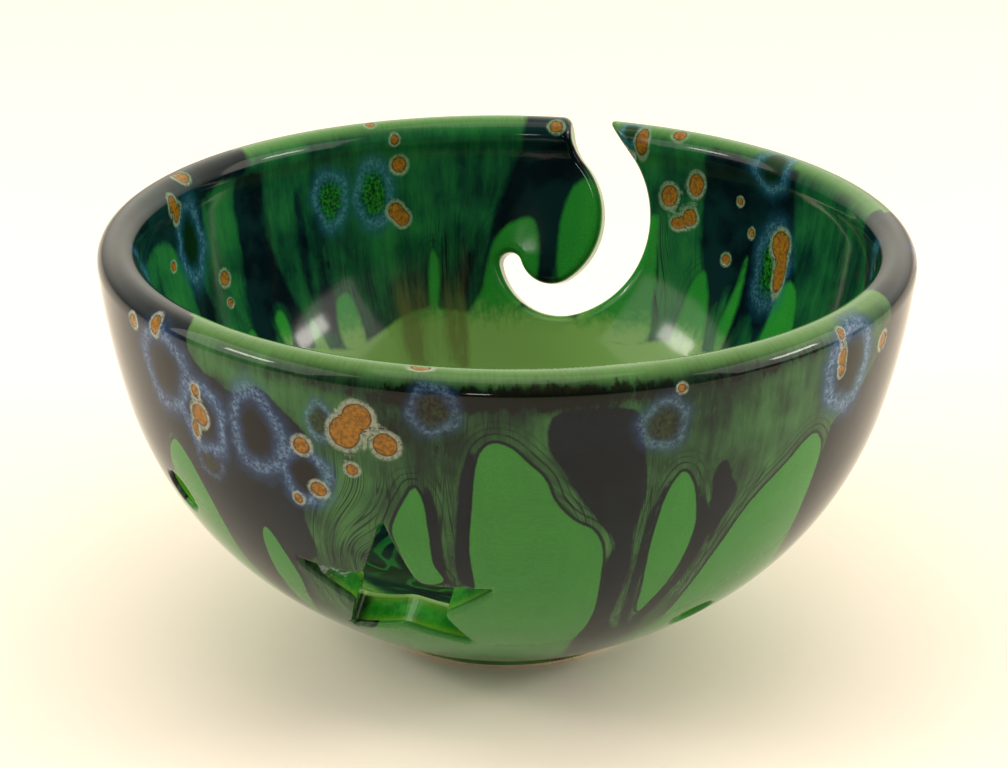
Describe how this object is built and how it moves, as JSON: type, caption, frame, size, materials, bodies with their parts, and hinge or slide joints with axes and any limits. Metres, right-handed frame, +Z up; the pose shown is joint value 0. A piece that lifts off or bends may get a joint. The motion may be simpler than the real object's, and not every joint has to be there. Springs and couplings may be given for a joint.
{
  "type": "yarn bowl",
  "caption": "Round glazed clay bowl that holds a ball of yarn, with a curling slot in the rim that guides the strand.",
  "frame": {"origin": "middle of the foot ring's rest face, on the bowl's axis", "axes": "+Z up along the bowl's axis; +Y towards the yarn slot, so -Y is the side with the star; +X to the right seen from the star's side"},
  "size_m": [0.16, 0.16, 0.083],
  "materials": {
    "fired_clay": "matt, fine turning lines",
    "outside_glaze": "gloss, dark blue over green with runs, crystals and haloes",
    "inside_glaze": "gloss, dark blue over green with runs, crystals and haloes",
    "cut_edge_glaze": "gloss, clear green"
  },
  "bodies": {
    "root": {"clay_bowl": "fired_clay", "foot_ring": "fired_clay", "outside_glaze": "outside_glaze", "inside_glaze": "inside_glaze", "slot_glaze": "cut_edge_glaze", "star_glaze": "cut_edge_glaze", "hole_glaze": "cut_edge_glaze"}
  },
  "joints": []
}
